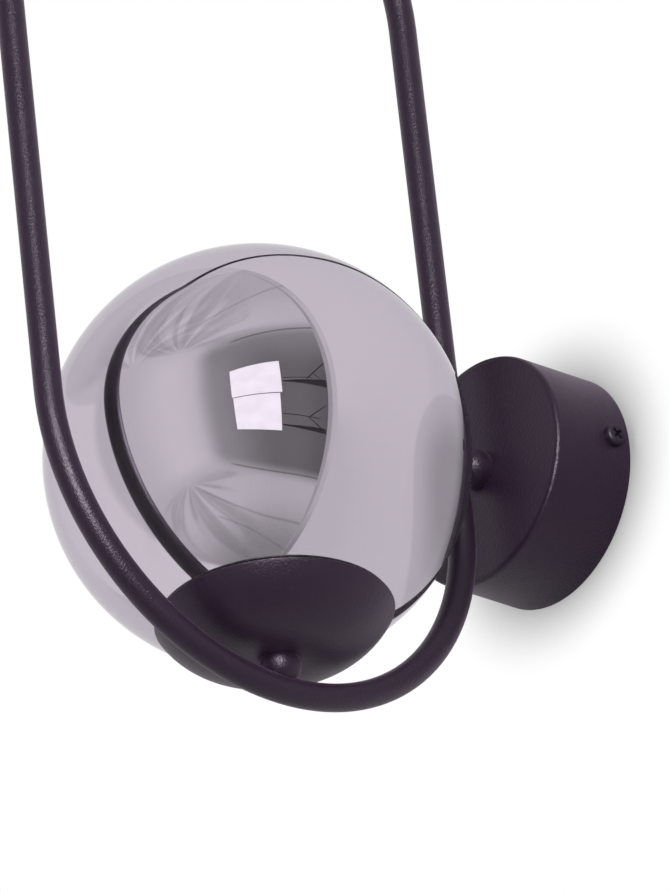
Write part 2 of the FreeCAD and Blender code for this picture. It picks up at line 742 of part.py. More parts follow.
def earth_lead():
    barrel_end_x = earth_x - tag_ring_diameter / 2 - tag_barrel_length
    high_z = earth_z
    end = V(barrel_end_x - lead_end_gap, barrel_y(), earth_z)
    path = rounded_path(
        [V(0, clamp_y, lead_start_z), V(0, clamp_y, high_z), V(barrel_end_x / 2, barrel_y(), high_z), end],
        [lead_diameter, lead_diameter])
    lead = swept(path, lead_diameter / 2, "earth_lead")
    conductor_r = conductor_diameter / 2
    into_clamp = rod(conductor_r, V(0, clamp_y, lead_start_z - stripped_length), Z_AXIS, stripped_length)
    into_tag = rod(conductor_r, end, X_AXIS, tag_barrel_length - lead_end_gap)
    return lead.fuse(into_clamp).fuse(into_tag)


# ---- everything, by node name ---------------------------------------------------------------------------------------
def all_parts():
    rose_point, rose_out = rose_joint()
    bowl_point, bowl_out = bowl_joint()
    return {
        "wall_bracket": [wall_bracket()],
        "earth_screw": [earth_screw()],
        "earth_washer": [earth_washer()],
        "earth_tag": [earth_tag()],
        "earth_lead": [earth_lead()],
        "terminal_block": [terminal_block()],
        "terminal_clamps": terminal_clamps(),
        "terminal_screws": terminal_screws(),
        "terminal_fixing_screw": [terminal_fixing_screw()],
        "rose_cover": [rose_cover()],
        "rose_side_screws": rose_side_screws(),
        "rose_lock_washer": [placed(lock_washer(), V(0, -rose_depth + rose_wall, 0), Y_AXIS)],
        "rose_nut": [placed(hex_nut(), V(0, rose_nut_y, 0), Y_AXIS)],
        "rose_nipple": [nipple(rose_point, rose_out, rose_nipple_end_y - far_leg_y)],
        "rose_ball": [joint_ball(rose_point, rose_out, rose_gap)],
        "frame_loop": [frame_loop()],
        "bowl_ball": [joint_ball(bowl_point, bowl_out, bowl_gap)],
        "bowl_nipple": [nipple(bowl_point, bowl_out, bowl_nipple_end_z - loop_bottom_z)],
        "bowl_lock_washer": [placed(lock_washer(), at_rz(0, strap_top_z), Z_AXIS)],
        "bowl_nut": [placed(hex_nut(), at_rz(0, bowl_nut_z), Z_AXIS)],
        "glass_bowl": [glass_bowl()],
        "globe_collar": [globe_collar()],
        "holder_strap": [holder_strap()],
        "holder_screws": holder_screws(),
        "lamp_holder": [lamp_holder()],
        "holder_contacts": holder_contacts(),
        "live_lead": [lamp_lead(-1, "live_lead")],
        "neutral_lead": [lamp_lead(1, "neutral_lead")],
        "globe_gasket": [globe_gasket()],
        "globe": [globe()],
        "lamp_base": [lamp_base()],
        "lamp_pins": lamp_pins(),
        "lamp_envelope": [lamp_envelope()],
        "lamp_board": [lamp_board()],
    }


os.makedirs("parts", exist_ok=True)
for node, solids in all_parts().items():
    shape = solids[0] if len(solids) == 1 else Part.makeCompound(solids)
    valid = shape.isValid() and shape.Volume > 0
    print(node, "solids", len(shape.Solids), "valid", valid, "volume", round(shape.Volume, 1))
    shape.exportStep("parts/" + node + ".step")
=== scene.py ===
# %% [markdown]
# # A globe wall sconce, dressed in Blender
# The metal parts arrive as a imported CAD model, already at their real size and place. This
# script gives every surface its finish, models the smooth parts that a mirror finish shows
# up, and sets a white wall, soft light and the photograph's camera round them.

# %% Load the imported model
import bmesh
import bpy
import math
from mathutils import Matrix, Vector


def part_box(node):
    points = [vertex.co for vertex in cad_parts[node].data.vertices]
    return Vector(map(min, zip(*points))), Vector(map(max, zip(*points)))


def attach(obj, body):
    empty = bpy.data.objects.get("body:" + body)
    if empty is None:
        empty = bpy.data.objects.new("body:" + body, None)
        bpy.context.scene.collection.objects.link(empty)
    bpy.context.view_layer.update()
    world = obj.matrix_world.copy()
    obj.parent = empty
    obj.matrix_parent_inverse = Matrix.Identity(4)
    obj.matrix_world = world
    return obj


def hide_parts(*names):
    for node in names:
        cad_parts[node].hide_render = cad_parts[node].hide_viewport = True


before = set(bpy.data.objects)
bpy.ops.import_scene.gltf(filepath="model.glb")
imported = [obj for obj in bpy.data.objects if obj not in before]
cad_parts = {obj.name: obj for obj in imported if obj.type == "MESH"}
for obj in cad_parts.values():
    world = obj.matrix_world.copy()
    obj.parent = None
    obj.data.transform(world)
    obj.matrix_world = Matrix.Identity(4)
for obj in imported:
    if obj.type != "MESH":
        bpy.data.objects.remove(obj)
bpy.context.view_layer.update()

# %% [markdown]
# The sizes below are read from the boxes of the CAD nodes, in metres. The loop stands in the
# plane x = 0, square to the wall, and the globe hangs on the loop's middle axis. They could
# also be typed in, but reading them keeps every modelled piece on the CAD piece it stands for.

# %% Sizes shared by the pieces
mm = 0.001
loop_low, loop_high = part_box("frame_loop")
tube_radius = loop_high.x
near_leg_y = loop_low.y + tube_radius
far_leg_y = loop_high.y - tube_radius
axis_y = (near_leg_y + far_leg_y) / 2
bend_radius = (far_leg_y - near_leg_y) / 2
loop_bottom_z = loop_low.z + tube_radius
lower_bend_z = loop_bottom_z + bend_radius
upper_bend_z = loop_high.z - tube_radius - bend_radius
globe_low, globe_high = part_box("globe")
globe_radius = globe_high.x
globe_z = globe_high.z - globe_radius
print("legs at y =", round(near_leg_y, 4), round(far_leg_y, 4), "globe at z =", round(globe_z, 4))

# %% [markdown]
# ## Finishes
# Each finish is a small node tree on Object coordinates, so its grain has a real size in
# metres and stays put when the piece moves. The same few nodes come up in every tree, so each
# gets a short helper, and the finishes themselves stay easy to read.

# %% Node helpers
def new_finish(name):
    material = bpy.data.materials.new(name)
    material.use_nodes = True
    nodes = material.node_tree.nodes
    shader = nodes["Principled BSDF"]
    coordinates = nodes.new("ShaderNodeTexCoord")
    return material, nodes, material.node_tree.links, shader, coordinates.outputs["Object"]


def noise(nodes, links, vector, scale, detail=3.0, roughness=0.5):
    texture = nodes.new("ShaderNodeTexNoise")
    texture.inputs["Scale"].default_value = scale
    texture.inputs["Detail"].default_value = detail
    texture.inputs["Roughness"].default_value = roughness
    links.new(vector, texture.inputs["Vector"])
    return texture.outputs["Fac"]


def spread(nodes, links, value, low, high, out_low, out_high):
    """Map a 0 to 1 pattern onto the range of a roughness or a strength."""
    node = nodes.new("ShaderNodeMapRange")
    node.inputs["From Min"].default_value = low
    node.inputs["From Max"].default_value = high
    node.inputs["To Min"].default_value = out_low
    node.inputs["To Max"].default_value = out_high
    links.new(value, node.inputs["Value"])
    return node.outputs["Result"]


def two_colours(nodes, links, value, first, second):
    node = nodes.new("ShaderNodeMix")
    node.data_type = "RGBA"
    node.inputs["A"].default_value = (*first, 1)
    node.inputs["B"].default_value = (*second, 1)
    links.new(value, node.inputs["Factor"])
    return node.outputs["Result"]


def bump(nodes, links, shader, height, strength, distance):
    node = nodes.new("ShaderNodeBump")
    node.inputs["Strength"].default_value = strength
    node.inputs["Distance"].default_value = distance
    links.new(height, node.inputs["Height"])
    links.new(node.outputs["Normal"], shader.inputs["Normal"])


finishes = {}
print("node helpers are ready")

# %% [markdown]
# The frame, rose and bowl share a satin powder coat. Baked powder flows into a fine, even
# grain about a millimetre across. Real displacement would need millions of faces for it, so
# it is made as bump, with a little variation of roughness: together they break the lamp's
# reflection into a speckled streak. At a low angle the matt grains catch the light with a
# faint mauve haze, which a little sheen gives.

# %% Black powder coat
coat_black = ((0.0095, 0.0034, 0.0120), (0.0120, 0.0050, 0.0148))
coat_grain_scale = 1400.0
coat_cloud_scale = 40.0
coat_grain_height = 0.18 * mm


def make_powder_coat():
    material, nodes, links, shader, place = new_finish("satin_powder_coat")
    grain = noise(nodes, links, place, coat_grain_scale, 2.0, 0.6)
    clouds = noise(nodes, links, place, coat_cloud_scale, 2.0)
    links.new(two_colours(nodes, links, clouds, *coat_black), shader.inputs["Base Color"])
    rough = spread(nodes, links, grain, 0.35, 0.65, 0.31, 0.40)
    links.new(rough, shader.inputs["Roughness"])
    shader.inputs["Specular IOR Level"].default_value = 0.44
    shader.inputs["Specular Tint"].default_value = (0.97, 0.86, 1.0, 1)
    shader.inputs["Sheen Weight"].default_value = 0.12
    shader.inputs["Sheen Roughness"].default_value = 0.44
    shader.inputs["Sheen Tint"].default_value = (0.95, 0.62, 1.0, 1)
    bump(nodes, links, shader, grain, 1.0, coat_grain_height)
    return material


powder_coat = make_powder_coat()
finishes["powder_coat"] = powder_coat
print("made", powder_coat.name)

# %% [markdown]
# The globe is smoke-tinted glass with a thin metal coat, so from outside in daylight it is
# nearly a mirror. Plain glass in a shader mirrors only a few percent of the light face on. A
# metallic surface with a high alpha does better: it mirrors about half of the light, and lets
# an eighth through each wall. The polish is left perfect, at roughness 0.

# %% Half-mirror smoked glass
glass_veil_scale = 9.0


def make_mirror_glass():
    material, nodes, links, shader, place = new_finish("half_mirror_glass")
    veil = noise(nodes, links, place, glass_veil_scale, 2.0)
    tone = two_colours(nodes, links, veil, (0.575, 0.518, 0.595), (0.592, 0.535, 0.614))
    links.new(tone, shader.inputs["Base Color"])
    shader.inputs["Metallic"].default_value = 1.0
    shader.inputs["Roughness"].default_value = 0.0
    shader.inputs["Specular Tint"].default_value = (0.80, 0.79, 0.81, 1)
    shader.inputs["Alpha"].default_value = 0.88
    return material


mirror_glass = make_mirror_glass()
finishes["mirror_glass"] = mirror_glass
print("made", mirror_glass.name)

# %% [markdown]
# Two more glasses are plain: the uncoated inside of the globe, faintly smoked, and the clear
# cover of the lamp. Each only veils what is behind it, so a low alpha and a clean shine do.

# %% Clear glasses
def make_clear_glass(name, first, second, alpha):
    material, nodes, links, shader, place = new_finish(name)
    veil = noise(nodes, links, place, glass_veil_scale, 2.0)
    links.new(two_colours(nodes, links, veil, first, second), shader.inputs["Base Color"])
    shader.inputs["Roughness"].default_value = 0.0
    shader.inputs["Alpha"].default_value = alpha
    return material


inner_glass = make_clear_glass("smoked_glass_inside", (0.20, 0.18, 0.21), (0.24, 0.21, 0.25), 0.10)
finishes["bulb_glass"] = make_clear_glass("clear_bulb_glass", (0.80, 0.80, 0.78),
                                          (0.84, 0.84, 0.82), 0.22)
print("made", inner_glass.name, finishes["bulb_glass"].name)

# %% [markdown]
# Everything inside the rose and round the lamp holder is lamp hardware: zinc-plated
# steel, brass, tinned wire, white plastic, ceramic and silicone. One recipe serves them all,
# because each is a colour that wanders between two tones, on a grain of its own size.

# %% Hardware finishes
hardware_grain_height = 0.05 * mm


def make_hardware(name, first, second, metallic, rough, grain_scale, strength):
    material, nodes, links, shader, place = new_finish(name)
    grain = noise(nodes, links, place, grain_scale)
    links.new(two_colours(nodes, links, grain, first, second), shader.inputs["Base Color"])
    links.new(spread(nodes, links, grain, 0.3, 0.7, *rough), shader.inputs["Roughness"])
    shader.inputs["Metallic"].default_value = metallic
    bump(nodes, links, shader, grain, strength, hardware_grain_height)
    return material


# Name: two tones, metallic, least and most roughness, grain scale, bump strength.
hardware = {
    "zinc_plate": ((0.52, 0.53, 0.53), (0.66, 0.66, 0.64), 1.0, (0.28, 0.44), 600, 0.25),
    "plain_brass": ((0.66, 0.47, 0.20), (0.80, 0.62, 0.32), 1.0, (0.22, 0.38), 500, 0.2),
    "tinned_copper": ((0.62, 0.61, 0.60), (0.76, 0.75, 0.73), 1.0, (0.2, 0.35), 900, 0.2),
    "spring_strip": ((0.60, 0.54, 0.40), (0.72, 0.66, 0.52), 1.0, (0.25, 0.4), 700, 0.2),
    "turned_aluminium": ((0.62, 0.62, 0.63), (0.74, 0.74, 0.74), 1.0, (0.25, 0.4), 800, 0.3),
    "black_screw": (*coat_black, 0.0, (0.38, 0.52), 2500, 0.4),
    "white_plastic": ((0.74, 0.74, 0.70), (0.80, 0.80, 0.77), 0.0, (0.4, 0.5), 700, 0.15),
    "glazed_ceramic": ((0.78, 0.77, 0.73), (0.84, 0.83, 0.79), 0.0, (0.2, 0.34), 300, 0.3),
    "clear_silicone": ((0.62, 0.61, 0.60), (0.70, 0.69, 0.68), 0.0, (0.35, 0.5), 400, 0.15),
    "brown_silicone": ((0.11, 0.045, 0.02), (0.15, 0.065, 0.03), 0.0, (0.45, 0.6), 900, 0.2),
    "blue_silicone": ((0.03, 0.10, 0.32), (0.045, 0.14, 0.40), 0.0, (0.45, 0.6), 900, 0.2),
    "lamp_cap_plastic": ((0.78, 0.78, 0.76), (0.84, 0.84, 0.82), 0.0, (0.3, 0.42), 500, 0.15),
}
for name, recipe in hardware.items():
    finishes[name] = make_hardware(name, *recipe)
print("made", len(hardware), "hardware finishes")

# %% [markdown]
# An earth lead is green with a yellow stripe along it. A drawn texture would need a UV map of
# the lead. Slanting bands of a Wave texture cross it just as well, at this size.

# %% Green and yellow lead
def make_earth_lead():
    material, nodes, links, shader, place = new_finish("green_yellow_silicone")
    bands = nodes.new("ShaderNodeTexWave")
    bands.bands_direction = "DIAGONAL"
    bands.inputs["Scale"].default_value = 75.0
    bands.inputs["Distortion"].default_value = 0.3
    links.new(place, bands.inputs["Vector"])
    stripe = spread(nodes, links, bands.outputs["Fac"], 0.55, 0.65, 0, 1)
    tone = two_colours(nodes, links, stripe, (0.03, 0.22, 0.03), (0.70, 0.52, 0.03))
    links.new(tone, shader.inputs["Base Color"])
    grain = noise(nodes, links, place, 900.0)
    links.new(spread(nodes, links, grain, 0.3, 0.7, 0.45, 0.6), shader.inputs["Roughness"])
    bump(nodes, links, shader, grain, 0.2, hardware_grain_height)
    return material


finishes["earth_lead"] = make_earth_lead()
print("made", finishes["earth_lead"].name)

# %% [markdown]
# The lamp's board is white, and its light chips, which stand proud of both faces, are covered
# with yellow phosphor. The chips are part of the board's node, so the colour changes with the
# distance from the board's middle. Math nodes do that sum, and get a helper of their own.

# %% The lamp's board
board_half_thickness = 0.65 * mm


def calc(nodes, links, operation, *values):
    """One Math node. Each value is a plain number or the output of another node."""
    node = nodes.new("ShaderNodeMath")
    node.operation = operation
    for socket, value in zip(node.inputs, values):
        if isinstance(value, (int, float)):
            socket.default_value = value
        else:
            links.new(value, socket)
    return node.outputs[0]


def make_led_board():
    material, nodes, links, shader, place = new_finish("led_board")
    parts = nodes.new("ShaderNodeSeparateXYZ")
    links.new(place, parts.inputs[0])
    off = calc(nodes, links, "SUBTRACT", parts.outputs["Y"], axis_y)
    off = calc(nodes, links, "ABSOLUTE", off)
    on_chip = calc(nodes, links, "GREATER_THAN", off, board_half_thickness)
    tone = two_colours(nodes, links, on_chip, (0.80, 0.80, 0.77), (0.86, 0.60, 0.10))
    links.new(tone, shader.inputs["Base Color"])
    grain = noise(nodes, links, place, 1500.0)
    links.new(spread(nodes, links, grain, 0.3, 0.7, 0.4, 0.55), shader.inputs["Roughness"])
    bump(nodes, links, shader, grain, 0.3, hardware_grain_height)
    return material


finishes["led_board"] = make_led_board()
print("made", finishes["led_board"].name)

# %% [markdown]
# Every CAD node gets its finish by name. The nodes keep their own meshes, so their material
# list is cleared first and then holds one entry. Nodes that a smoother piece will stand for
# are dressed as well, so that nothing is ever left bare.

# %% Give the CAD nodes their finishes
node_finish = {
    "wall_bracket": "zinc_plate", "earth_screw": "plain_brass", "earth_washer": "plain_brass",
    "earth_tag": "tinned_copper", "earth_lead": "earth_lead", "terminal_block": "white_plastic",
    "terminal_clamps": "plain_brass", "terminal_screws": "zinc_plate",
    "terminal_fixing_screw": "zinc_plate", "rose_side_screws": "black_screw",
    "rose_lock_washer": "zinc_plate", "rose_nut": "zinc_plate", "rose_nipple": "zinc_plate",
    "bowl_nipple": "zinc_plate", "bowl_lock_washer": "zinc_plate", "bowl_nut": "zinc_plate",
    "globe_collar": "turned_aluminium", "holder_strap": "zinc_plate",
    "holder_screws": "zinc_plate", "lamp_holder": "glazed_ceramic",
    "holder_contacts": "spring_strip", "live_lead": "brown_silicone",
    "neutral_lead": "blue_silicone", "globe_gasket": "clear_silicone",
    "lamp_base": "lamp_cap_plastic", "lamp_pins": "tinned_copper",
    "lamp_envelope": "bulb_glass", "lamp_board": "led_board",
    "frame_loop": "powder_coat", "rose_cover": "powder_coat", "glass_bowl": "powder_coat",
    "rose_ball": "powder_coat", "bowl_ball": "powder_coat", "globe": "mirror_glass",
}
for name, finish in node_finish.items():
    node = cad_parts[name]
    node.data.materials.clear()
    node.data.materials.append(finishes[finish])
print("finished nodes:", len(node_finish), "of", len(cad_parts))

# %% [markdown]
# ## Modelling
# Operators act on whatever is selected, and the CAD nodes arrive selected. So each piece
# starts from a clean selection, and its faces and edges are picked in code, by their place.

# %% Selection helpers
def nothing_selected():
    if bpy.context.object and bpy.context.object.mode != "OBJECT":
        bpy.ops.object.mode_set(mode="OBJECT")
    bpy.ops.object.select_all(action="DESELECT")


def pick(kind, test):
    """In edit mode, select only the vertices, edges or faces that pass the test."""
    mesh = bmesh.from_edit_mesh(bpy.context.object.data)
    for group in (mesh.verts, mesh.edges, mesh.faces):
        for item in group:
            item.select = False
    for item in getattr(mesh, kind):
        if test(item):
            item.select_set(True)
    bmesh.update_edit_mesh(bpy.context.object.data)


nothing_selected()
print("selected objects:", len(bpy.context.selected_objects))

# %% [markdown]
# A finished piece keeps its object at the origin and its place in its mesh, as the CAD nodes
# do. It then rides on a body, takes its finish, and stands for its CAD node.

# %% Settle a finished piece
def place_in_mesh():
    """Move the active object's place and turn into its mesh."""
    bpy.ops.object.transform_apply(location=True, rotation=True, scale=True)


def settle(piece, name, material, body, slot, *nodes, angle=30):
    nothing_selected()
    bpy.context.view_layer.objects.active = piece
    piece.select_set(True)
    place_in_mesh()
    bpy.ops.object.shade_smooth_by_angle(angle=math.radians(angle))
    piece.name = name
    piece.data.name = name
    if not piece.data.materials:
        piece.data.materials.append(material)
    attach(piece, body)
    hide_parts(*nodes)
    print(name, "faces:", len(piece.data.polygons))


# %% [markdown]
# ## The loop
# One length of round tube, bent to a racetrack and welded shut. A curve with a bevel would
# also make it, but Bezier bends are only nearly round. Here a circle of edges is carried up
# the near leg, spun round the upper bend, carried down the far leg and spun round the lower
# bend, so both bends are true arcs.

# %% Model the loop
tube_sides = 64
leg_steps = 24
bend_steps = 72


def carry_section(steps, move):
    for _ in range(steps):
        bpy.ops.mesh.extrude_region_move(
            TRANSFORM_OT_translate={"value": tuple(v / steps for v in move)})


def spin_section(bend_z):
    bpy.ops.mesh.spin(steps=bend_steps, angle=math.pi, center=(0, axis_y, bend_z),
                      axis=(1, 0, 0))


nothing_selected()
bpy.ops.mesh.primitive_circle_add(vertices=tube_sides, radius=tube_radius, fill_type="NOTHING",
                                  location=(0, near_leg_y, lower_bend_z))
loop = bpy.context.object
place_in_mesh()
bpy.ops.object.mode_set(mode="EDIT")
bpy.ops.mesh.select_all(action="SELECT")
straight = upper_bend_z - lower_bend_z
carry_section(leg_steps, (0, 0, straight))
spin_section(upper_bend_z)
carry_section(leg_steps, (0, 0, -straight))
spin_section(lower_bend_z)
bpy.ops.mesh.select_all(action="SELECT")
bpy.ops.mesh.remove_doubles(threshold=0.01 * mm)
bpy.ops.mesh.normals_make_consistent(inside=False)
bpy.ops.object.mode_set(mode="OBJECT")
settle(loop, "loop_tube", powder_coat, "fixture", "black_coat", "frame_loop", angle=60)

# %% [markdown]
# ## The rose
# A pressed steel cup with a small radius on its front edge, which hides the wiring. It could
# be spun from its profile, but a cylinder is quicker: it loses its back, gets the edge radius
# by bevel, and its sheet thickness by a Solidify modifier. Two helpers come first.

# %% Model the rose
def apply_modifier(piece, kind, name, **settings):
    modifier = piece.modifiers.new(name, kind)
    for key, value in settings.items():
        setattr(modifier, key, value)
    bpy.context.view_layer.objects.active = piece
    bpy.ops.object.modifier_apply(modifier=modifier.name)


def edge_middle(edge):
    return (edge.verts[0].co + edge.verts[1].co) / 2


rose_low, rose_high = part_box("rose_cover")
rose_radius = rose_high.x
rose_depth = -rose_low.y
rose_wall = 1.2 * mm
rose_corner = 1.8 * mm
nothing_selected()
bpy.ops.mesh.primitive_cylinder_add(vertices=192, radius=rose_radius, depth=rose_depth,
                                    location=(0, -rose_depth / 2, 0),
                                    rotation=(math.pi / 2, 0, 0))
rose = bpy.context.object
place_in_mesh()
bpy.ops.object.mode_set(mode="EDIT")
pick("faces", lambda f: f.normal.y > 0.9)
bpy.ops.mesh.delete(type="FACE")
pick("edges", lambda e: abs(edge_middle(e).y + rose_depth) < 0.01 * mm)
bpy.ops.mesh.bevel(offset=rose_corner, segments=8, profile=0.5, affect="EDGES")
pick("faces", lambda f: f.normal.y < -0.99)
bpy.ops.mesh.inset(thickness=0.5 * mm)
bpy.ops.object.mode_set(mode="OBJECT")
apply_modifier(rose, "SOLIDIFY", "sheet", thickness=rose_wall, offset=-1)
apply_modifier(rose, "BEVEL", "edge", width=0.15 * mm, segments=2, limit_method="ANGLE",
               angle_limit=math.radians(50))
settle(rose, "rose_shell", powder_coat, "fixture", "black_coat", "rose_cover")

# %% [markdown]
# ## The bowl
# A shallow dish spun from sheet, which carries the globe and hides its neck. A slice of a
# sphere would have the wrong middle, because the real dish is flat there for its nut. So its
# middle is a filled circle, and the side grows from it ring by ring along an arc that is
# tangent to the flat. A sheet that faces down is turned over before it gets its thickness.

# %% Model the bowl
bowl_low, bowl_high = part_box("glass_bowl")
bowl_base_z = bowl_low.z
bowl_flat = 13 * mm
bowl_rim = 42 * mm
bowl_wall = 1.0 * mm
bowl_depth = bowl_high.z - bowl_low.z
bowl_arc = ((bowl_rim - bowl_flat) ** 2 + bowl_depth ** 2) / (2 * bowl_depth)
full_angle = math.asin((bowl_rim - bowl_flat) / bowl_arc)
bowl_steps = 28


def face_up(piece):
    """In edit mode, turn the whole sheet over if its first face looks down."""
    mesh = bmesh.from_edit_mesh(piece.data)
    mesh.faces.ensure_lookup_table()
    looks_up = mesh.faces[0].normal.z > 0
    bpy.ops.mesh.select_all(action="SELECT")
    if not looks_up:
        bpy.ops.mesh.flip_normals()


def grow_ring(reached, ring_r, ring_z):
    """Carry the open edge from the ring reached so far, as radius and height, to the next."""
    pick("edges", lambda e: e.is_boundary)
    bpy.ops.mesh.extrude_region_move(
        TRANSFORM_OT_translate={"value": (0, 0, ring_z - reached[1])})
    bpy.ops.transform.resize(value=(ring_r / reached[0], ring_r / reached[0], 1),
                             center_override=(0, axis_y, ring_z))
    return ring_r, ring_z


nothing_selected()
bpy.ops.mesh.primitive_circle_add(vertices=192, radius=bowl_flat, fill_type="NGON",
                                  location=(0, axis_y, bowl_base_z))
bowl = bpy.context.object
place_in_mesh()
bpy.ops.object.mode_set(mode="EDIT")
reached = (bowl_flat, bowl_base_z)
for step in range(1, bowl_steps + 1):
    angle = full_angle * step / bowl_steps
    reached = grow_ring(reached, bowl_flat + bowl_arc * math.sin(angle),
                        bowl_base_z + bowl_arc * (1 - math.cos(angle)))
bpy.ops.mesh.select_all(action="SELECT")
bpy.ops.mesh.normals_make_consistent(inside=False)
pick("faces", lambda f: len(f.verts) > 4)
bpy.ops.mesh.inset(thickness=6 * mm)
face_up(bowl)
bpy.ops.mesh.flip_normals()
bpy.ops.object.mode_set(mode="OBJECT")
apply_modifier(bowl, "SOLIDIFY", "sheet", thickness=bowl_wall, offset=-1)
apply_modifier(bowl, "BEVEL", "rim", width=0.3 * mm, segments=4, limit_method="ANGLE",
               angle_limit=math.radians(50))
settle(bowl, "bowl_shell", powder_coat, "fixture", "black_coat", "glass_bowl", angle=40)

# %% [markdown]
# ## The two balls
# A drilled steel ball stands between the tube and each plate. It is saddled on the tube and
# has a flat for the plate. Bisect cuts the flat from a sphere, and a Boolean with a cylinder
# of the tube's size cuts the saddle, much as a milling cutter would.

# %% Model the balls
ball_radius = 7.5 * mm
ball_offset = 9.3 * mm
saddle_bite = 0.03 * mm


def make_ball(name, node, centre, outward, flat, tube_point, tube_direction):
    nothing_selected()
    bpy.ops.mesh.primitive_uv_sphere_add(segments=64, ring_count=32, radius=ball_radius,
                                         location=centre)
    ball = bpy.context.object
    place_in_mesh()
    bpy.ops.object.mode_set(mode="EDIT")
    bpy.ops.mesh.select_all(action="SELECT")
    bpy.ops.mesh.bisect(plane_co=flat, plane_no=outward, use_fill=True, clear_outer=True)
    nothing_selected()
    turn = Vector((0, 0, 1)).rotation_difference(Vector(tube_direction)).to_euler()
    bpy.ops.mesh.primitive_cylinder_add(vertices=96, radius=tube_radius - saddle_bite,
                                        depth=40 * mm, location=tube_point, rotation=turn)
    cutter = bpy.context.object
    apply_modifier(ball, "BOOLEAN", "saddle", object=cutter, operation="DIFFERENCE",
                   solver="EXACT")
    bpy.data.objects.remove(cutter)
    settle(ball, name, powder_coat, "fixture", "black_coat", node, angle=45)


make_ball("rose_ball_turned", "rose_ball", (0, far_leg_y + ball_offset, 0), (0, 1, 0),
          (0, -rose_depth, 0), (0, far_leg_y, 0), (0, 0, 1))
make_ball("bowl_ball_turned", "bowl_ball", (0, axis_y, loop_bottom_z + ball_offset), (0, 0, 1),
          (0, axis_y, bowl_base_z), (0, axis_y, loop_bottom_z), (0, 1, 0))

# %% [markdown]
# ## The globe
# Blown glass, with a short neck that screws down inside the bowl. The CAD piece could be
# dressed as it is, but a mirror shows every facet, so a finer sphere is made. It loses its
# cap below the shoulder, the open edge is carried down as the neck, and a Solidify modifier
# gives the thickness of the glass, with its own inside finish.

# %% Model the globe
globe_wall = 2 * mm
neck_radius = 22 * mm
neck_bore = 18.3 * mm
neck_end_z = globe_low.z
shoulder_z = globe_z - math.sqrt(globe_radius ** 2 - neck_radius ** 2)


def on_neck_bore(vertex):
    off_axis = math.hypot(vertex.co.x, vertex.co.y - axis_y)
    return abs(vertex.co.z - neck_end_z) < 0.5 * mm and off_axis < 21 * mm


nothing_selected()
bpy.ops.mesh.primitive_uv_sphere_add(segments=224, ring_count=128, radius=globe_radius,
                                     location=(0, axis_y, globe_z))
globe = bpy.context.object
place_in_mesh()
bpy.ops.object.mode_set(mode="EDIT")
bpy.ops.mesh.select_all(action="SELECT")
bpy.ops.mesh.bisect(plane_co=(0, axis_y, shoulder_z), plane_no=(0, 0, 1), clear_inner=True)
pick("edges", lambda e: e.is_boundary)
bpy.ops.mesh.extrude_region_move(
    TRANSFORM_OT_translate={"value": (0, 0, neck_end_z - shoulder_z)})
bpy.ops.object.mode_set(mode="OBJECT")
globe.data.materials.append(mirror_glass)
globe.data.materials.append(inner_glass)
apply_modifier(globe, "SOLIDIFY", "glass", thickness=globe_wall, offset=-1, material_offset=1,
               material_offset_rim=0)
bpy.ops.object.mode_set(mode="EDIT")
pick("verts", on_neck_bore)
bore_share = neck_bore / (neck_radius - globe_wall)
bpy.ops.transform.resize(value=(bore_share, bore_share, 1),
                         center_override=(0, axis_y, neck_end_z))
bpy.ops.object.mode_set(mode="OBJECT")
settle(globe, "globe_glass", mirror_glass, "globe", "mirrored_glass", "globe", angle=50)

# %% [markdown]
# ## The camera
# The camera's place was fitted to the photograph: low, in front and to the right, about 4 m
# away with a long lens, and turned a little about its own axis. The photograph's middle isn't
# the lamp's, so the camera is swung until the loop's lower centre falls on its own pixel.

# %% Place the camera
picture = (669, 892)
focal_pixels = 11479.7
look_at = Vector((0, axis_y, lower_bend_z))
look_at_pixel = (257.2, 455.95)
side, lift, roll = math.radians(42.14), math.radians(-29.49), math.radians(-6.21)
distance = 4.0
back = Vector((math.cos(side) * math.cos(lift), -math.sin(side) * math.cos(lift),
               math.sin(lift)))
right = Vector((0, 0, 1)).cross(back).normalized()
up = back.cross(right)
turned = Matrix((right, up, back)).transposed() @ Matrix.Rotation(roll, 3, "Z")
off_centre = Vector(((look_at_pixel[0] - picture[0] / 2) / focal_pixels,
                     -(look_at_pixel[1] - picture[1] / 2) / focal_pixels, -1)).normalized()
swing = Vector((0, 0, -1)).rotation_difference(off_centre).to_matrix()
camera_data = bpy.data.cameras.new("camera")
camera_data.sensor_width = 36
camera_data.lens = focal_pixels * camera_data.sensor_width / picture[1]
camera_data.clip_start = 0.05
camera_data.clip_end = 60
camera = bpy.data.objects.new("camera", camera_data)
bpy.context.scene.collection.objects.link(camera)
facing = (turned @ swing.transposed()).to_4x4()
camera.matrix_world = Matrix.Translation(look_at + back * distance) @ facing
bpy.context.scene.camera = camera
print("camera at", [round(v, 3) for v in camera.location], "lens", round(camera_data.lens, 1))

# %% [markdown]
# ## The wall and the floor
# The sconce hangs on a white wall that shows only as white, with a soft grey contact shadow
# round the rose. The mirrored glass and the satin coat see the same wall, but not at the same
# level: the photograph was printed with deep blacks, so a blurred reflection sees the room at
# a lower level than a sharp one, which is a singular ray. Two soft mixing helpers come first.

# %% Sharp and blurred reflections
blurred_level = 0.57


def ramp(nodes, links, value, start, end):
    """Rise softly from 0 at start to 1 at end."""
    node = nodes.new("ShaderNodeMapRange")
    node.interpolation_type = "SMOOTHSTEP"
    node.inputs["From Min"].default_value = start
    node.inputs["From Max"].default_value = end
    links.new(value, node.inputs["Value"])
    return node.outputs["Result"]


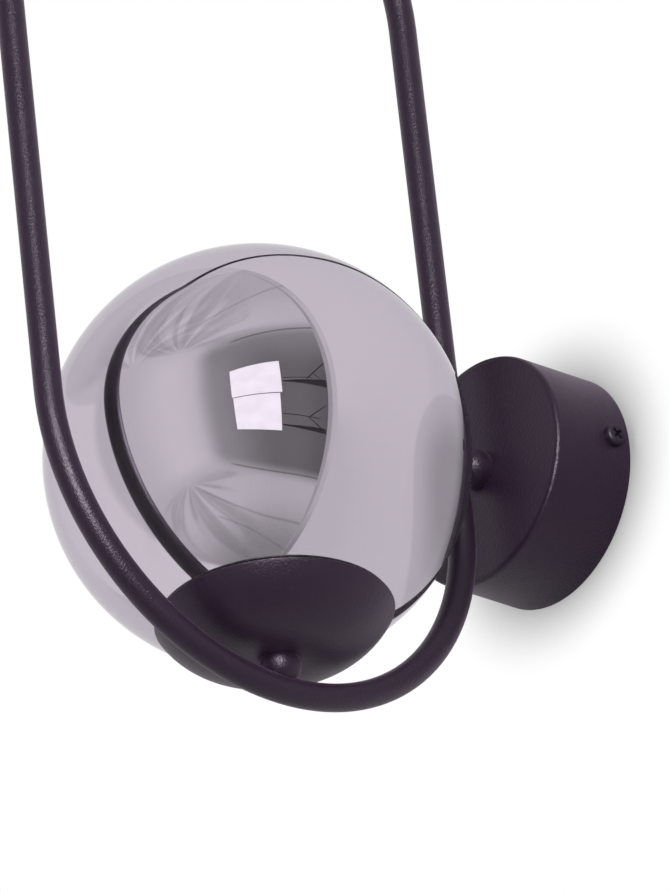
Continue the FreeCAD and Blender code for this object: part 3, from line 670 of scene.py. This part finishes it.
def mixed(nodes, links, first, second, share):
    """first where share is 0, second where it is 1."""
    node = nodes.new("ShaderNodeMix")
    for socket, value in zip(("Factor", "A", "B"), (share, first, second)):
        if isinstance(value, (int, float)):
            node.inputs[socket].default_value = value
        else:
            links.new(value, node.inputs[socket])
    return node.outputs["Result"]


def sharp_or_blurred(nodes, links, level):
    sharp = nodes.new("ShaderNodeLightPath").outputs["Is Singular Ray"]
    return calc(nodes, links, "MULTIPLY", level, mixed(nodes, links, blurred_level, 1.0, sharp))


print("blurred reflections see", blurred_level, "of the room")

# %% [markdown]
# The globe also mirrors the soft shadow that it throws on the wall beside the rose. The
# photograph's own wall was whitened, so that shadow shows in reflections alone. It is painted
# as an oval, darkest in its middle, and painted shade darkens the wall a little towards the floor.

# %% The mirrored shadow
shadow_right, shadow_below = 62 * mm, 40 * mm
shadow_half_width, shadow_half_height = 106 * mm, 74 * mm
# Heights between which painted shade darkens the mirrored wall towards the floor.
wall_shade_heights = (0.25, -0.55)


def length_of(nodes, links, across, along):
    squares = [calc(nodes, links, "MULTIPLY", v, v) for v in (across, along)]
    return calc(nodes, links, "SQRT", calc(nodes, links, "ADD", *squares))


def mirrored_shadow(nodes, links):
    parts = nodes.new("ShaderNodeSeparateXYZ")
    links.new(nodes.new("ShaderNodeTexCoord").outputs["Object"], parts.inputs[0])
    beside = calc(nodes, links, "SUBTRACT", parts.outputs["X"], shadow_right)
    across = calc(nodes, links, "DIVIDE", beside, shadow_half_width)
    over = calc(nodes, links, "ADD", parts.outputs["Z"], shadow_below)
    along = calc(nodes, links, "DIVIDE", over, shadow_half_height)
    far = length_of(nodes, links, across, along)
    depth = mixed(nodes, links, 0.58, 0.86, ramp(nodes, links, far, 0.3, 1.0))
    level = mixed(nodes, links, depth, 1.0, ramp(nodes, links, far, 0.98, 1.06))
    lower = mixed(nodes, links, 1.0, 0.86, ramp(nodes, links, parts.outputs["Z"], *wall_shade_heights))
    return sharp_or_blurred(nodes, links, calc(nodes, links, "MULTIPLY", level, lower))


print("mirrored shadow, half width and height:", shadow_half_width, shadow_half_height)

# %% [markdown]
# The wall's own material shows itself to the camera and in reflections as plain white, dimmed
# by how much of the room is hidden from it close by: that is the contact shadow. To all other
# light it is a matte white board. From behind it is clear, so that the back can be looked at.

# %% Stage material
contact_distance = 26 * mm


def mixed_shader(nodes, links, share, first, second):
    node = nodes.new("ShaderNodeMixShader")
    for socket, value in zip(node.inputs, (share, first, second)):
        links.new(value, socket)
    return node.outputs[0]


def clear_from_behind(nodes, links, front):
    backfacing = nodes.new("ShaderNodeNewGeometry").outputs["Backfacing"]
    clear = nodes.new("ShaderNodeBsdfTransparent").outputs[0]
    output = nodes.new("ShaderNodeOutputMaterial")
    links.new(mixed_shader(nodes, links, backfacing, front, clear), output.inputs["Surface"])


def make_stage_white():
    material = bpy.data.materials.new("stage_white")
    material.use_nodes = True
    nodes, links = material.node_tree.nodes, material.node_tree.links
    nodes.clear()
    contact = nodes.new("ShaderNodeAmbientOcclusion")
    contact.samples = 16
    contact.inputs["Distance"].default_value = contact_distance
    shade = spread(nodes, links, contact.outputs["AO"], 0.5, 0.97, 0.40, 1.0)
    path = nodes.new("ShaderNodeLightPath")
    in_glass = mixed(nodes, links, 1.0, mirrored_shadow(nodes, links),
                     path.outputs["Is Glossy Ray"])
    matte = nodes.new("ShaderNodeBsdfDiffuse")
    matte.inputs["Color"].default_value = (0.88, 0.88, 0.88, 1)
    seen = nodes.new("ShaderNodeEmission")
    links.new(calc(nodes, links, "MULTIPLY", shade, in_glass), seen.inputs["Strength"])
    shown = calc(nodes, links, "MAXIMUM", path.outputs["Is Camera Ray"],
                 path.outputs["Is Glossy Ray"])
    front = mixed_shader(nodes, links, shown, matte.outputs[0], seen.outputs[0])
    clear_from_behind(nodes, links, front)
    return material


stage_white = make_stage_white()
print("stage nodes:", len(stage_white.node_tree.nodes))

# %% [markdown]
# The wall and the floor are large discs with a hole, made from a circle of edges that is
# extruded and then resized outwards. The wall's hole is behind the rose, and a little smaller
# than it, so no gap shows. The floor is far below, and is left out of reflections.

# %% Hang the wall and lay the floor
stage_radius = 8.0
floor_z = -2.2
wall_gap = 0.3 * mm
wall_hole = rose_radius - 0.6 * mm


def make_disc(name, hole, location, rotation):
    nothing_selected()
    bpy.ops.mesh.primitive_circle_add(vertices=96, radius=hole, fill_type="NOTHING")
    disc = bpy.context.object
    bpy.ops.object.mode_set(mode="EDIT")
    bpy.ops.mesh.select_all(action="SELECT")
    bpy.ops.mesh.extrude_region_move()
    bpy.ops.transform.resize(value=(stage_radius / hole, stage_radius / hole, 1),
                             center_override=(0, 0, 0))
    bpy.ops.mesh.select_all(action="SELECT")
    bpy.ops.mesh.normals_make_consistent(inside=False)
    face_up(disc)
    bpy.ops.object.mode_set(mode="OBJECT")
    disc.location = location
    disc.rotation_euler = rotation
    place_in_mesh()
    disc.name = name
    disc.data.materials.append(stage_white)
    return disc


wall = make_disc("wall", wall_hole, (0, wall_gap, 0), (math.pi / 2, 0, 0))
floor = make_disc("floor", 10 * mm, (0, 0, floor_z), (0, 0, 0))
floor.visible_glossy = False
print("wall looks along", [round(v) for v in wall.data.polygons[0].normal],
      "floor looks along", [round(v) for v in floor.data.polygons[0].normal])

# %% [markdown]
# ## The studio round the lamp
# A polished globe shows the whole room. In the photograph that is a tent of pale cloth, open
# at the front, with a dim room behind the opening. A picture of a room could be wrapped round
# the scene, but a drawn one needs no file. A large ball round the lamp carries it, and only
# reflections see that ball. The pattern is drawn over two angles, measured from the globe:
# azimuth goes round, from straight out of the wall towards +X, and elevation goes up.

# %% Angles of the studio
def studio_angles(nodes, links):
    unit = nodes.new("ShaderNodeVectorMath")
    unit.operation = "NORMALIZE"
    links.new(nodes.new("ShaderNodeTexCoord").outputs["Object"], unit.inputs[0])
    parts = nodes.new("ShaderNodeSeparateXYZ")
    links.new(unit.outputs[0], parts.inputs[0])
    outward = calc(nodes, links, "MULTIPLY", parts.outputs["Y"], -1.0)
    turn = calc(nodes, links, "ARCTAN2", parts.outputs["X"], outward)
    rise = calc(nodes, links, "ARCSINE", parts.outputs["Z"])
    return calc(nodes, links, "DEGREES", turn), calc(nodes, links, "DEGREES", rise)


def drawn_curve(nodes, links, azimuth, level, drop, end, reach, power):
    """The elevation of a line that runs level at the azimuth end, and leaves it by drop."""
    along = calc(nodes, links, "DIVIDE", calc(nodes, links, "SUBTRACT", end, azimuth), reach)
    bend = calc(nodes, links, "POWER", calc(nodes, links, "MAXIMUM", along, 0.0), power)
    return calc(nodes, links, "SUBTRACT", level, calc(nodes, links, "MULTIPLY", bend, drop))


print("azimuth 0 looks straight out of the wall, 90 along +X")

# %% [markdown]
# The cloth is brightest on the side that faces the lamps, a little duller above, and duller
# again towards the floor. Beyond its left edge a whiter sheet hangs, under a slanting hem. All
# of it is mixing between levels, along one of the two angles at a time.

# %% Brightness of the cloth
def cloth_brightness(nodes, links, azimuth, elevation):
    lit = calc(nodes, links, "MULTIPLY", ramp(nodes, links, azimuth, -22, 6),
               ramp(nodes, links, azimuth, 30, 8))
    cloth = mixed(nodes, links, 0.82, 0.98, lit)
    cloth = mixed(nodes, links, cloth, 0.85, ramp(nodes, links, elevation, 26, 42))
    dull_top = calc(nodes, links, "MULTIPLY", ramp(nodes, links, elevation, 52, 72),
                    ramp(nodes, links, azimuth, 0, 30))
    cloth = mixed(nodes, links, cloth, 0.74, dull_top)
    lower = mixed(nodes, links, 0.76, 0.38, ramp(nodes, links, elevation, -46, -80))
    cloth = mixed(nodes, links, cloth, lower, ramp(nodes, links, elevation, -22, -34))
    hem = calc(nodes, links, "MULTIPLY_ADD", azimuth, -0.25, 17.2)
    over_hem = calc(nodes, links, "SUBTRACT", elevation, hem)
    sheet = mixed(nodes, links, 1.04, 0.90, ramp(nodes, links, over_hem, -1.0, 1.0))
    return mixed(nodes, links, sheet, cloth, ramp(nodes, links, azimuth, -45, -38))


print("the cloth runs from azimuth -38 round to the wall")

# %% [markdown]
# Cloth hung from a corner falls in folds that fan out from it, with painted light and shade.
# The angle round the corner drives a noise pattern, so each fold is a ray, and the folds fade
# away from the corner. A painted shade line marks the crease where the noise crosses its middle.

# %% Folds of the cloth
def folds(nodes, links, azimuth, elevation, corner, upwards, seed):
    across = calc(nodes, links, "SUBTRACT", azimuth, corner[0])
    away = calc(nodes, links, "SUBTRACT", elevation, corner[1])
    if not upwards:
        away = calc(nodes, links, "MULTIPLY", away, -1.0)
    turn = calc(nodes, links, "ARCTAN2", across, away)
    far = length_of(nodes, links, across, away)
    bent = calc(nodes, links, "MULTIPLY_ADD", far, -0.004, turn)
    point = nodes.new("ShaderNodeCombineXYZ")
    links.new(calc(nodes, links, "MULTIPLY", bent, 3.0), point.inputs["X"])
    links.new(calc(nodes, links, "MULTIPLY", far, 0.012), point.inputs["Y"])
    point.inputs["Z"].default_value = seed
    rays = noise(nodes, links, point.outputs[0], 1.0, 1.0, 0.5)
    fade = calc(nodes, links, "MULTIPLY", ramp(nodes, links, far, 0.5, 5),
                ramp(nodes, links, far, 66, 22))
    share = calc(nodes, links, "MULTIPLY", fade, ramp(nodes, links, away, -1, 4))
    # Painted light and shade across each fold, with a painted shade line at its crease.
    depth = spread(nodes, links, rays, 0.38, 0.62, 0.80, 1.10)
    off_middle = calc(nodes, links, "ABSOLUTE", calc(nodes, links, "SUBTRACT", rays, 0.5))
    crease_shade = mixed(nodes, links, 0.86, 1.0, ramp(nodes, links, off_middle, 0.0, 0.03))
    depth = calc(nodes, links, "MULTIPLY", depth, crease_shade)
    return mixed(nodes, links, 1.0, depth, share)


# Corner as azimuth and elevation, whether its folds fan upwards, and the seed of the noise.
fold_corners = [
    ((12.0, 35.0), True, 0.0),
    ((-17.0, 35.0), True, 4.0),
    ((3.0, -31.0), False, 9.0),
]
print("corners with folds:", len(fold_corners))

# %% [markdown]
# Seams of the cloth, and the tent's pinned edges, show in the globe as thin dark lines. Each
# follows a curve in elevation, and darkens the cloth within a small distance of it.

# %% Seams and edges
def thin_line(nodes, links, azimuth, elevation, curve, ends, width, depth):
    line = drawn_curve(nodes, links, azimuth, *curve)
    off = calc(nodes, links, "ABSOLUTE", calc(nodes, links, "SUBTRACT", elevation, line))
    near = ramp(nodes, links, off, width, width * 0.3)
    inside = calc(nodes, links, "MULTIPLY", ramp(nodes, links, azimuth, ends[0], ends[0] + 5),
                  ramp(nodes, links, azimuth, ends[1], ends[1] - 2))
    return mixed(nodes, links, 1.0, 1.0 - depth, calc(nodes, links, "MULTIPLY", near, inside))


# Curve as level, drop, end, reach and power; first and last azimuth; half width; depth.
cloth_lines = [
    ((71.0, 21.0, 95.0, 75.0, 2.0), (18, 99), 0.9, 0.22),
    ((-77.5, -27.0, 95.0, 90.0, 2.5), (5, 97), 1.0, 0.22),
    ((-62.5, -30.0, 85.0, 82.0, 3.0), (6, 89), 1.1, 0.25),
    ((42.0, 10.0, 88.0, 60.0, 2.2), (38, 89), 0.7, 0.5),
    ((-38.0, -10.0, 80.0, 52.0, 2.5), (30, 89), 0.7, 0.45),
]
print("thin lines:", len(cloth_lines))

# %% [markdown]
# Through the opening the room is dim, and dimmer towards the wall board. The opening's top and
# bottom edges are curves, because the sides of the tent are pinned back. The function gives
# back how open the tent is at each angle, and how bright the room is there.

# %% The opening
def opening(nodes, links, azimuth, elevation):
    top = drawn_curve(nodes, links, azimuth, 43.0, 9.5, 88.0, 60.0, 2.2)
    bottom = drawn_curve(nodes, links, azimuth, -38.5, -10.5, 88.0, 60.0, 2.5)
    under = ramp(nodes, links, calc(nodes, links, "SUBTRACT", top, elevation), -6.0, 6.0)
    over = ramp(nodes, links, calc(nodes, links, "SUBTRACT", elevation, bottom), -5.0, 5.0)
    sides = calc(nodes, links, "MULTIPLY", ramp(nodes, links, azimuth, 18, 31),
                 ramp(nodes, links, azimuth, 87.8, 87.2))
    share = calc(nodes, links, "MULTIPLY", calc(nodes, links, "MULTIPLY", under, over), sides)
    room = mixed(nodes, links, 0.46, 0.22, ramp(nodes, links, azimuth, 24, 62))
    room = mixed(nodes, links, room, 0.17, ramp(nodes, links, azimuth, 72, 87))
    room = mixed(nodes, links, room, 0.36, ramp(nodes, links, elevation, 16, 40))
    return share, room


print("the opening runs from azimuth 18 to 88")

# %% [markdown]
# The pieces of the drawing are now joined: the cloth, the room where the tent is open, the
# folds and lines multiplied over both, and the narrow grey edge of the wall board at the
# right. The ball that carries it is kept from the camera, from shadows and from soft light.

# %% Put the studio together
globe_centre = Vector((0, axis_y, globe_z))
studio_radius = 3.4
board_edge_level = 0.55


def make_studio_cloth():
    material = bpy.data.materials.new("studio_cloth")
    material.use_nodes = True
    nodes, links = material.node_tree.nodes, material.node_tree.links
    nodes.clear()
    azimuth, elevation = studio_angles(nodes, links)
    bright = cloth_brightness(nodes, links, azimuth, elevation)
    share, room = opening(nodes, links, azimuth, elevation)
    bright = mixed(nodes, links, bright, room, share)
    marks = [folds(nodes, links, azimuth, elevation, *corner) for corner in fold_corners]
    marks += [thin_line(nodes, links, azimuth, elevation, *line) for line in cloth_lines]
    for mark in marks:
        bright = calc(nodes, links, "MULTIPLY", bright, mark)
    board_edge = calc(nodes, links, "MULTIPLY", ramp(nodes, links, azimuth, 87.2, 87.9),
                      ramp(nodes, links, azimuth, 90.2, 89.2))
    bright = mixed(nodes, links, bright, board_edge_level, board_edge)
    glow = nodes.new("ShaderNodeEmission")
    links.new(sharp_or_blurred(nodes, links, bright), glow.inputs["Strength"])
    output = nodes.new("ShaderNodeOutputMaterial")
    links.new(glow.outputs[0], output.inputs["Surface"])
    return material


def only_in_reflections(piece):
    piece.visible_camera = False
    piece.visible_diffuse = False
    piece.visible_transmission = False
    piece.visible_volume_scatter = False
    piece.visible_shadow = False


nothing_selected()
bpy.ops.mesh.primitive_uv_sphere_add(segments=96, ring_count=48, radius=studio_radius,
                                     location=globe_centre)
studio = bpy.context.object
studio.name = "studio_cloth"
studio.data.materials.append(make_studio_cloth())
only_in_reflections(studio)
print("studio nodes:", len(studio.data.materials[0].node_tree.nodes))

# %% [markdown]
# ## The light
# Two soft lamps, one over the other, stand in the opening: they are the bright patch in the
# globe. Each is a rectangle between two upright edges, the right one nearer the globe. The
# helper finds such a rectangle's middle, size and the direction that it turns its back to.

# %% Where the lamps stand
lamp_left_distance = 2.75
lamp_right_distance = 2.27


def direction(azimuth, elevation):
    a, e = math.radians(azimuth), math.radians(elevation)
    return Vector((math.sin(a) * math.cos(e), -math.cos(a) * math.cos(e), math.sin(e)))


def lamp_stand(left_azimuth, right_azimuth, bottom, top):
    left = direction(left_azimuth, 0) * lamp_left_distance
    right = direction(right_azimuth, 0) * lamp_right_distance
    away = Vector((0, 0, 1)).cross((right - left).normalized())
    if away.dot(left) < 0:
        away.negate()
    place = globe_centre + (left + right) / 2 + Vector((0, 0, (bottom + top) / 2))
    return place, away, (right - left).length, top - bottom


# Name: azimuth of the left and right edges, then bottom and top height from the globe.
lamp_stands = {
    "upper_soft_lamp": lamp_stand(38.4, 63.8, 0.19, 0.925),
    "lower_soft_lamp": lamp_stand(38.9, 62.6, -0.64, 0.17),
}
for name, (place, away, width, height) in lamp_stands.items():
    print(name, "is", round(width, 2), "by", round(height, 2), "m")

# %% [markdown]
# The front of such a lamp is a sheet of cloth, a little uneven in brightness. It glows on one
# side and is clear from behind, so that it hides nothing from the other views.

# %% Cloth for the lamps
front_levels = (1.60, 1.78)


def make_lamp_front():
    material = bpy.data.materials.new("lamp_front")
    material.use_nodes = True
    nodes, links = material.node_tree.nodes, material.node_tree.links
    nodes.clear()
    place = nodes.new("ShaderNodeTexCoord").outputs["Object"]
    glow = nodes.new("ShaderNodeEmission")
    level = spread(nodes, links, noise(nodes, links, place, 2.5, 1.0), 0.3, 0.7, *front_levels)
    links.new(level, glow.inputs["Strength"])
    clear_from_behind(nodes, links, glow.outputs[0])
    return material


lamp_front = make_lamp_front()
print("made", lamp_front.name)

# %% [markdown]
# A lamp that is strong enough to put the streaks on the black coat would clip to plain white
# in the mirrored glass. The glass could be darkened, but then all of the room would sink too.
# Instead, light linking leaves the glass off the lamps' list. A cloth front, a centimetre
# behind each lamp, is what the glass mirrors.

# %% Hang the lamps
lamp_radiance = 16.0
front_setback = 0.01
not_the_glass = bpy.data.collections.new("not_the_glass")
not_the_glass.objects.link(globe)
not_the_glass.collection_objects[0].light_linking.link_state = "EXCLUDE"
for name, (place, away, width, height) in lamp_stands.items():
    lamp = bpy.data.lights.new(name, "AREA")
    lamp.shape = "RECTANGLE"
    lamp.size = width
    lamp.size_y = height
    lamp.energy = lamp_radiance * math.pi * width * height
    lamp_object = bpy.data.objects.new(name, lamp)
    bpy.context.scene.collection.objects.link(lamp_object)
    lamp_object.location = place
    lamp_object.rotation_euler = away.to_track_quat("Z", "Y").to_euler()
    lamp_object.light_linking.receiver_collection = not_the_glass
    nothing_selected()
    bpy.ops.mesh.primitive_plane_add(size=1, location=place + away * front_setback,
                                     rotation=(-away).to_track_quat("Z", "Y").to_euler())
    panel = bpy.context.object
    panel.name = name + "_front"
    panel.scale = (width, height, 1)
    panel.data.materials.append(lamp_front)
    only_in_reflections(panel)
    print(name, "power", round(lamp.energy, 1), "with", panel.name)

# %% [markdown]
# Each lamp hangs on a boom with a thin wire and two struts, which show in the globe as dark
# lines to the right of the bright patch. A tapered cone between two directions makes each
# one, because only its outline is ever seen.

# %% Stand up the booms
boom_distance = 2.6
stand_black = make_hardware("stand_black", (0.010, 0.010, 0.010), (0.015, 0.015, 0.015),
                            0.0, (0.6, 0.8), 40, 0.1)


def boom(name, start, end, start_width, end_width):
    """A straight tapered rod between two directions from the globe, with widths in degrees."""
    first, last = direction(*start) * boom_distance, direction(*end) * boom_distance
    nothing_selected()
    bpy.ops.mesh.primitive_cone_add(vertices=16, depth=(last - first).length,
                                    radius1=math.radians(start_width / 2) * boom_distance,
                                    radius2=math.radians(end_width / 2) * boom_distance,
                                    location=globe_centre + (first + last) / 2,
                                    rotation=(last - first).to_track_quat("Z", "Y").to_euler())
    rod = bpy.context.object
    rod.name = name
    rod.data.materials.append(stand_black)
    only_in_reflections(rod)


# Name: azimuth and elevation of the start and of the end, then the width at each, in degrees.
booms = {
    "upper_boom": ((64.5, 10.8), (86.5, 10.5), 0.5, 4.0),
    "upper_wire": ((64.5, 12.6), (80.0, 13.2), 0.35, 0.35),
    "upper_strut": ((77.0, 12.5), (87.0, 21.5), 0.5, 0.5),
    "upper_brace": ((80.0, 16.0), (86.0, 11.0), 0.4, 0.4),
    "lower_wire": ((63.5, -6.6), (83.0, -8.0), 0.45, 0.45),
    "lower_boom": ((63.5, -12.6), (86.5, -14.0), 0.6, 2.8),
    "lower_strut": ((77.0, -8.0), (86.5, -0.5), 0.5, 0.5),
    "lower_brace": ((77.0, -8.0), (86.5, -14.5), 0.5, 0.5),
}
for name, shape in booms.items():
    boom(name, *shape)
print("rods:", len(booms))

# %% [markdown]
# All round is white, as in the photograph. The camera, and rays that mirrors or clear pieces
# send on, see it at strength 1. As light it is weaker, so that the coat
# keeps its black and the soft lamps do the modelling.

# %% Surround it with white
surround_light = 0.3
world = bpy.data.worlds.new("white_surround")
bpy.context.scene.world = world
world.use_nodes = True
nodes, links = world.node_tree.nodes, world.node_tree.links
background = nodes["Background"]
background.inputs["Color"].default_value = (1, 1, 1, 1)
path = nodes.new("ShaderNodeLightPath")
shown = calc(nodes, links, "MAXIMUM", path.outputs["Is Camera Ray"],
             path.outputs["Is Glossy Ray"])
shown = calc(nodes, links, "MAXIMUM", shown, path.outputs["Is Transmission Ray"])
links.new(spread(nodes, links, shown, 0, 1, surround_light, 1.0), background.inputs["Strength"])
bpy.context.scene.view_settings.view_transform = "Standard"
print("white surround, as light", surround_light)
